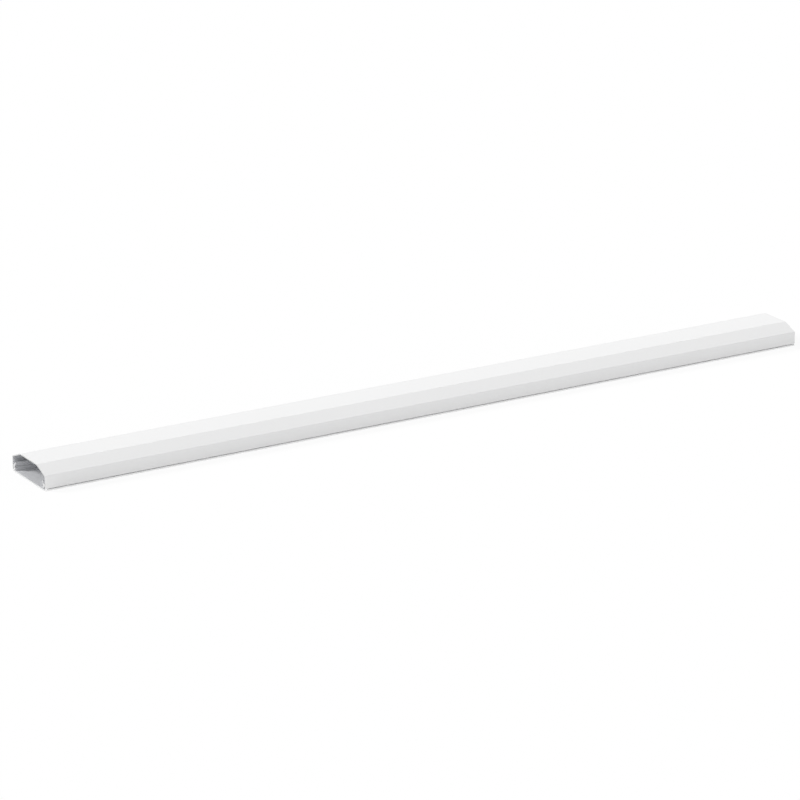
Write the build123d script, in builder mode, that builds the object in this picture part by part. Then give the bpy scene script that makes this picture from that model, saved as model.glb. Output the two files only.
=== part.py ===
from build123d import *
import os

# Cord cover raceway: a flat wall base with two snap legs, and a bevelled cover that clicks over them.
# Millimetres. X runs along the length, Y across, and Z up from the face that goes against the wall.

# Overall size
length = 750.0
width = 60.0
height = 19.0

# Cover: a channel of even wall with a flat top, two bevels and two upright sides
cover_wall = 1.0
bevel_run = 14.8  # how far each bevel reaches across
bevel_drop = 6.0  # how far each bevel falls below the flat top
edge_round = 0.8  # rounding of the long outer edges
inside_round = 0.4  # rounding of the long inside corners
foot_round = 0.3  # rounding of the cover's lower outer edges

# Base: a floor plate that stands back a little under the cover's sides
plate = 1.2
flange_inset = 0.4
flange_round = 0.4  # rounding of the plate's long upper edges
shadow_gap = 0.7  # open line between the plate and the cover's lower edge

# Snap legs: the outer face of each leans in to a heel, out to an elbow and in again to its tip
leg_wall = 1.4
elbow_gap = 1.1  # from the elbow to the inside of the cover's wall
elbow_rise = 3.7  # height of the elbow above the plate
heel_setback = 1.7  # from the elbow inward to the heel
heel_rise = 1.1  # height of the heel above the plate
heel_undercut = 0.6  # from the heel outward to the root
heel_wall = 0.9  # thickness at the heel, below which the inner face is upright
tip_setback = 2.5  # from the elbow inward to the tip
tip_rise = 3.8  # height of the tip above the elbow
elbow_round = 0.4
tip_round = 0.6
root_round = 0.3

# Catches inside the cover's walls: each lies on the leg's upper slope and hooks in under the elbow
catch_grip = 1.1  # how far the hook reaches in under the elbow
catch_rise = 1.8  # height of the catch above the elbow, along the wall
catch_fall = 1.1  # how far its top slopes down from the wall to its inner edge
catch_lift = 1.45  # from the cover's lower edge up to the catch
catch_lead = 0.6  # slant that rides over the leg as the cover is pressed on
snap_clearance = 0.3  # upward play before the hook meets the leg

# Screw holes along the middle of the plate
screw_count = 4
screw_margin = 45.0  # from each end to the first hole
screw_hole = 4.0

# Worked out from the sizes above
section = Plane.YZ.offset(-length / 2)
half_width = width / 2
half_flat = half_width - bevel_run
half_inside = half_width - cover_wall
foot_z = plate + shadow_gap
shoulder_z = height - bevel_drop
screw_pitch = (length - 2 * screw_margin) / (screw_count - 1)

# Corners of the leg's outer face, which the cover's catch is shaped to
elbow = Vector(half_inside - elbow_gap, plate + elbow_rise)
heel = Vector(elbow.X - heel_setback, plate + heel_rise)
root = Vector(heel.X + heel_undercut, plate)
tip = elbow + Vector(-tip_setback, tip_rise)
play = Vector(0, snap_clearance)
catch_y = elbow.X - catch_grip
catch_top_z = elbow.Y + catch_rise
catch_low_z = foot_z + catch_lift

with BuildPart() as base:
    with BuildSketch(section) as base_section:
        with BuildLine():
            Polyline(root, heel, elbow, tip)
            offset(amount=leg_wall, side=Side.LEFT, kind=Kind.INTERSECTION)
        make_face()
        with Locations((heel.X - heel_wall, plate)):
            Rectangle(leg_wall, elbow_rise, align=(Align.MAX, Align.MIN), mode=Mode.SUBTRACT)
        fillet(base_section.vertices().sort_by(Axis.X)[-1], elbow_round)
        fillet(base_section.vertices().sort_by(Axis.Y)[-2:], tip_round)
        mirror(about=Plane.YZ)
        with BuildSketch(mode=Mode.PRIVATE) as floor:
            Rectangle(width - 2 * flange_inset, plate, align=(Align.CENTER, Align.MIN))
            fillet(floor.vertices().group_by(Axis.Y)[-1], flange_round)
        add(floor.sketch)
        on_floor = base_section.vertices().filter_by_position(Axis.Y, plate - root_round, plate + root_round)
        leg_roots = on_floor.sort_by(Axis.X)[1:-1]
        fillet(leg_roots, root_round)
    extrude(amount=length)
    with Locations(Plane.XY.offset(plate)):
        with GridLocations(screw_pitch, 0, screw_count, 1):
            Hole(screw_hole / 2, plate)

with BuildPart() as cover:
    with BuildSketch(section) as cover_section:
        with BuildLine():
            Polyline(
                (-half_width, foot_z),
                (-half_width, shoulder_z),
                (-half_flat, height),
                (half_flat, height),
                (half_width, shoulder_z),
                (half_width, foot_z),
                close=True,
            )
        make_face()
        offset(amount=-cover_wall, kind=Kind.INTERSECTION, mode=Mode.SUBTRACT)
        fillet(cover_section.face().inner_wires()[0].vertices().sort_by(Axis.Y)[-4:], inside_round)
        with Locations((0, foot_z)):
            Rectangle(2 * half_inside, cover_wall, align=(Align.CENTER, Align.MIN), mode=Mode.SUBTRACT)
        with BuildLine():
            Polyline(
                (half_inside, catch_low_z),
                (half_inside, catch_top_z),
                (catch_y, catch_top_z - catch_fall),
                (catch_y, catch_low_z + catch_lead),
                (catch_y + catch_lead, catch_low_z),
                close=True,
            )
        make_face()
        with BuildLine():
            Polyline(heel - play, elbow - play, elbow, tip, close=True)
        make_face(mode=Mode.SUBTRACT)
        mirror(about=Plane.YZ)
        feet = cover_section.vertices().group_by(Axis.Y)[0].sort_by(Axis.X)
        fillet([feet[0], feet[-1]], foot_round)
        corners = cover_section.vertices()
        across = corners.group_by(Axis.X)
        shoulders = (across[0] + across[-1]).group_by(Axis.Y)[-1]
        top_corners = corners.group_by(Axis.Y)[-1]
        fillet(shoulders + top_corners, edge_round)
    extrude(amount=length)

os.makedirs("parts", exist_ok=True)
for name, piece in {"base": base, "cover": cover}.items():
    piece.part.label = name
    export_step(piece.part, f"parts/{name}.step")
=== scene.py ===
import bpy
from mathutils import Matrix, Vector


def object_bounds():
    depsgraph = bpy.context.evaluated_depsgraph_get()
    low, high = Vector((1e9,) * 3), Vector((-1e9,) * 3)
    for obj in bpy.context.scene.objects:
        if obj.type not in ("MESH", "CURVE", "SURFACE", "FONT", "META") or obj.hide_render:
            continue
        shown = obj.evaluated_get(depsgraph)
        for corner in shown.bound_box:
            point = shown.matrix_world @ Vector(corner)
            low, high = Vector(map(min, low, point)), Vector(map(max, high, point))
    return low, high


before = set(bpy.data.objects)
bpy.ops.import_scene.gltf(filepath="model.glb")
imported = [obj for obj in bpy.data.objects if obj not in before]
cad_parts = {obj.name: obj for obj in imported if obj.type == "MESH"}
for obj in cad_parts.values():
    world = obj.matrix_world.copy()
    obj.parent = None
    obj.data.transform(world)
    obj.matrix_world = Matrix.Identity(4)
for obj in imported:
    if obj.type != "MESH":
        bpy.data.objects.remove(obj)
cadBox = [list(corner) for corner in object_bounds()]

import bpy
import math
from mathutils import Vector


# Shader sockets that can be added, multiplied and compared like plain values
class Value:
    def __init__(self, tree, socket):
        self.tree = tree
        self.socket = socket

    def maths(self, operation, *others):
        return Nodes(self.tree).add("ShaderNodeMath", {"operation": operation}, [self, *others])

    def __add__(self, other):
        return self.maths("ADD", other)

    def __sub__(self, other):
        return self.maths("SUBTRACT", other)

    def __rsub__(self, other):
        return self.maths("MULTIPLY_ADD", -1.0, other)

    def __mul__(self, other):
        return self.maths("MULTIPLY", other)

    def __gt__(self, other):
        return self.maths("GREATER_THAN", other)

    def __lt__(self, other):
        return self.maths("LESS_THAN", other)

    def __or__(self, other):    # where either mask is set
        return self.maths("MAXIMUM", other)

    def __abs__(self):
        return self.maths("ABSOLUTE")

    __radd__ = __add__
    __rmul__ = __mul__


# Adds any node: its type, its own settings first, then what goes into its sockets
class Nodes:
    def __init__(self, tree):
        self.tree = tree

    def add(self, kind, settings=None, inputs=None, output=0):
        node = self.tree.nodes.new(kind)
        for name, setting in (settings or {}).items():
            setattr(node, name, setting)
        pairs = inputs.items() if isinstance(inputs, dict) else enumerate(inputs or [])
        for key, given in pairs:
            if isinstance(given, Value):
                self.tree.links.new(given.socket, node.inputs[key])
            else:
                node.inputs[key].default_value = given
        if node.outputs:
            return Value(self.tree, node.outputs[output])


def newMaterial(name):
    material = bpy.data.materials.new(name)
    material.use_nodes = True
    material.node_tree.nodes.clear()
    return material, Nodes(material.node_tree)


# White-coated extruded aluminium, bare inside: drawn lines along the length, a soft ripple, sawn ends;
# the greys of the inside and of the sawn ends also hold painted shade
coatedMetal = {
    "ior": 1.53,
    "roughness": 0.40,
    "bareRoughness": 0.42,
    "sawnRoughness": 0.62,
    "roughnessSpread": 0.08,
    "endFacing": 0.7,          # a face that looks more than this along the length is a sawn end
    "stretch": 0.4,            # waves per metre along the length, in the lines and the ripple
    "noiseRoughness": 0.6,
    "noiseMiddle": 0.5,
    "lineWidth": 0.0007,       # metres between drawn lines
    "lineDetail": 2.0,
    "lineBump": 0.000006,      # metres of relief
    "streakDepth": 0.012,      # how much the drawn lines change the colour
    "rippleWidth": 0.006,
    "rippleDetail": 1.0,
    "rippleBump": 0.000010,
    "sawWaves": (900, 120, 2400),    # per metre
    "sawSlant": 24,            # degrees
    "sawDetail": 3.0,
    "sawBump": 0.000020,
}


def metalMaterial(name, colours, insideMask):
    look = coatedMetal
    material, nodes = newMaterial(name)
    place = nodes.add("ShaderNodeTexCoord", output="Object")
    normal = nodes.add("ShaderNodeTexCoord", output="Normal")
    at = [nodes.add("ShaderNodeSeparateXYZ", inputs=[place], output=axis) for axis in "XYZ"]
    facing = [nodes.add("ShaderNodeSeparateXYZ", inputs=[normal], output=axis) for axis in "XYZ"]
    acrossEnd = abs(facing[0]) > look["endFacing"]
    # faces inside the raceway take the bare metal's grey, which is partly painted shade
    inside = insideMask(at, facing) * (1 - acrossEnd)

    def drawn(kind):    # noise pulled out along the length
        waves = 1 / look[kind + "Width"]
        stretched = nodes.add("ShaderNodeMapping", inputs={
            "Vector": place, "Scale": (look["stretch"], waves, waves)})
        return nodes.add("ShaderNodeTexNoise", inputs={
            "Vector": stretched, "Scale": 1.0,
            "Detail": look[kind + "Detail"], "Roughness": look["noiseRoughness"]})

    lines = drawn("line")
    ripple = drawn("ripple")
    sawPlace = nodes.add("ShaderNodeMapping", inputs={
        "Vector": place, "Rotation": (math.radians(look["sawSlant"]), 0, 0), "Scale": look["sawWaves"]})
    sawMarks = nodes.add("ShaderNodeTexNoise", inputs={
        "Vector": sawPlace, "Scale": 1.0, "Detail": look["sawDetail"]})

    streak = (lines - look["noiseMiddle"]) * look["streakDepth"]
    shades = [streak + outer + inside * (inner - outer) + acrossEnd * (sawn - outer)
              for outer, inner, sawn in zip(colours["outside"], colours["inside"], colours["sawn"])]
    tint = nodes.add("ShaderNodeCombineColor", inputs=shades)
    satin = look["roughness"] + (ripple - look["noiseMiddle"]) * look["roughnessSpread"]
    rough = (satin + acrossEnd * (look["sawnRoughness"] - look["roughness"])
             + inside * (look["bareRoughness"] - look["roughness"]))
    relief = (lines * look["lineBump"] + ripple * look["rippleBump"]) * (1 - acrossEnd)
    height = relief + sawMarks * acrossEnd * look["sawBump"]
    bump = nodes.add("ShaderNodeBump", inputs={"Strength": 1.0, "Distance": 1.0, "Height": height})
    shader = nodes.add("ShaderNodeBsdfPrincipled", inputs={
        "Base Color": tint, "Roughness": rough, "Metallic": inside * colours["shine"],
        "IOR": look["ior"], "Normal": bump})
    nodes.add("ShaderNodeOutputMaterial", inputs={"Surface": shader})
    return material


def dress(nodeName, colours, insideMask):
    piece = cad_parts[nodeName]
    piece.data.materials.clear()
    piece.data.materials.append(metalMaterial(nodeName + "Metal", colours, insideMask))


# Cover: its inner faces look down or towards the middle; their grey is bare metal and also painted
# shade of the hollow under the top
coverLook = {
    "outside": (0.852, 0.853, 0.855),
    # bare metal grey inside the cover, darkened further as painted shade of the hollow
    "inside": (0.740, 0.746, 0.762),
    "shine": 0.72,             # share of mirror-like metal in the dull bare faces
    # bare sawn metal, greyed further as painted shade against the left lamp, and darker than the base's
    # ends
    "sawn": (0.54, 0.54, 0.543),
    "inwardLimit": -0.005,     # metres from the middle times the facing, less than this looks inward
    "downLimit": -0.5,
    "footTop": 0.0023,         # metres, the lower edge below this stays white
}


def insideCover(at, facing):
    inward = at[1] * facing[1] < coverLook["inwardLimit"]
    downward = facing[2] < coverLook["downLimit"]
    return (inward | downward) * (at[2] > coverLook["footTop"])


dress("cover", coverLook, insideCover)

# Base: bare metal with painted shade between its legs; the edges that show outside are whiter than the
# cover's coat, as painted light on the plate's edge
baseLook = {
    # coat on the base's outer edges, whiter than the cover's as painted light
    "outside": (0.975, 0.976, 0.978),
    # bare metal grey between the legs, darkened further as painted shade of the hollow
    "inside": (0.812, 0.819, 0.834),
    "shine": 0.35,
    # bare sawn metal, greyed as painted shade against the left lamp, and lighter than the cover's ends
    # as painted light
    "sawn": (0.66, 0.66, 0.663),
    # width of the whiter rim that carries the painted light
    "whiteRimPaintedLight": 0.0018,       # metres in from the raceway's sides
    "underside": 0.0005,
}


def insideBase(at, facing):
    rim = cadBox[1][1] - baseLook["whiteRimPaintedLight"]
    return (abs(at[1]) < rim) * (at[2] > baseLook["underside"])


dress("base", baseLook, insideBase)
print("coated metal on the cover and the base")


# Floor and light
white = (1.0, 1.0, 1.0, 1.0)
studio = {
    "floorRadius": 12.0,
    "floorSides": 96,
    "floorShade": 0.96,        # grey level of the floor as it is seen
    "floorBounce": 0.70,       # and as it lights the raceway
    "floorGlow": 0.92,         # share of plain white in the floor as it is seen
    "worldStrength": 0.435,
    "lampAngle": 20.0,         # degrees, so that the shadows stay soft
    "leftFrom": (-0.645, 0.52, 0.56),
    "leftStrength": 2.93,
    "frontFrom": (0.25, -0.93, 0.27),
    "frontStrength": 0.99,
}


def seenDirectly(nodes):
    camera, glossy, through = [nodes.add("ShaderNodeLightPath", output=ray)
                               for ray in ("Is Camera Ray", "Is Glossy Ray", "Is Transmission Ray")]
    return camera | glossy | through


def buildFloor():
    bpy.ops.object.select_all(action="DESELECT")
    bpy.ops.mesh.primitive_circle_add(
        vertices=studio["floorSides"], radius=studio["floorRadius"], fill_type="NGON")
    floor = bpy.context.object
    floor.name = "studioFloor"
    material, nodes = newMaterial("paleFloor")
    seen = seenDirectly(nodes)
    shade = studio["floorBounce"] + seen * (studio["floorShade"] - studio["floorBounce"])
    matt = nodes.add("ShaderNodeBsdfDiffuse", inputs={"Color": shade})
    glow = nodes.add("ShaderNodeEmission", inputs={"Color": white, "Strength": 1.0})
    mixed = nodes.add("ShaderNodeMixShader", inputs=[seen * studio["floorGlow"], matt, glow])
    nodes.add("ShaderNodeOutputMaterial", inputs={"Surface": mixed})
    floor.data.materials.append(material)


def buildWorld():
    world = bpy.data.worlds.new("softRoom")
    bpy.context.scene.world = world
    world.use_nodes = True
    world.node_tree.nodes.clear()
    nodes = Nodes(world.node_tree)
    strength = studio["worldStrength"] + seenDirectly(nodes) * (1 - studio["worldStrength"])
    light = nodes.add("ShaderNodeBackground", inputs={"Color": white, "Strength": strength})
    nodes.add("ShaderNodeOutputWorld", inputs={"Surface": light})


def buildLamp(name, inReflections=True):
    lamp = bpy.data.lights.new(name + "Lamp", "SUN")
    lamp.energy = studio[name + "Strength"]
    lamp.angle = math.radians(studio["lampAngle"])
    holder = bpy.data.objects.new(name + "Lamp", lamp)
    bpy.context.scene.collection.objects.link(holder)
    holder.rotation_euler = Vector(studio[name + "From"]).to_track_quat("Z", "Y").to_euler()
    holder.visible_glossy = inReflections


buildFloor()
buildWorld()
buildLamp("left")
buildLamp("front", inReflections=False)    # a low fill, which would whiten the top from behind
print("floor, room and lamps")


# Camera at the photograph's viewing angle
viewpoint = {
    "eye": (-1.67206, -2.72110, 1.06750),
    "turn": -31.2266,          # degrees from straight along +Y
    "down": 18.4070,           # degrees below level
    "lens": 176.216,           # millimetres
    "sensor": 36.0,
    "farthest": 50.0,
}


def buildCamera():
    lens = bpy.data.cameras.new("photoView")
    lens.lens = viewpoint["lens"]
    lens.sensor_width = viewpoint["sensor"]
    lens.clip_end = viewpoint["farthest"]
    holder = bpy.data.objects.new("photoView", lens)
    holder.location = viewpoint["eye"]
    tilt = math.radians(90 - viewpoint["down"])    # a camera with no tilt looks straight down
    holder.rotation_euler = (tilt, 0, math.radians(viewpoint["turn"]))
    bpy.context.scene.collection.objects.link(holder)
    bpy.context.scene.camera = holder


buildCamera()
bpy.context.scene.view_settings.view_transform = "Standard"
print("camera")
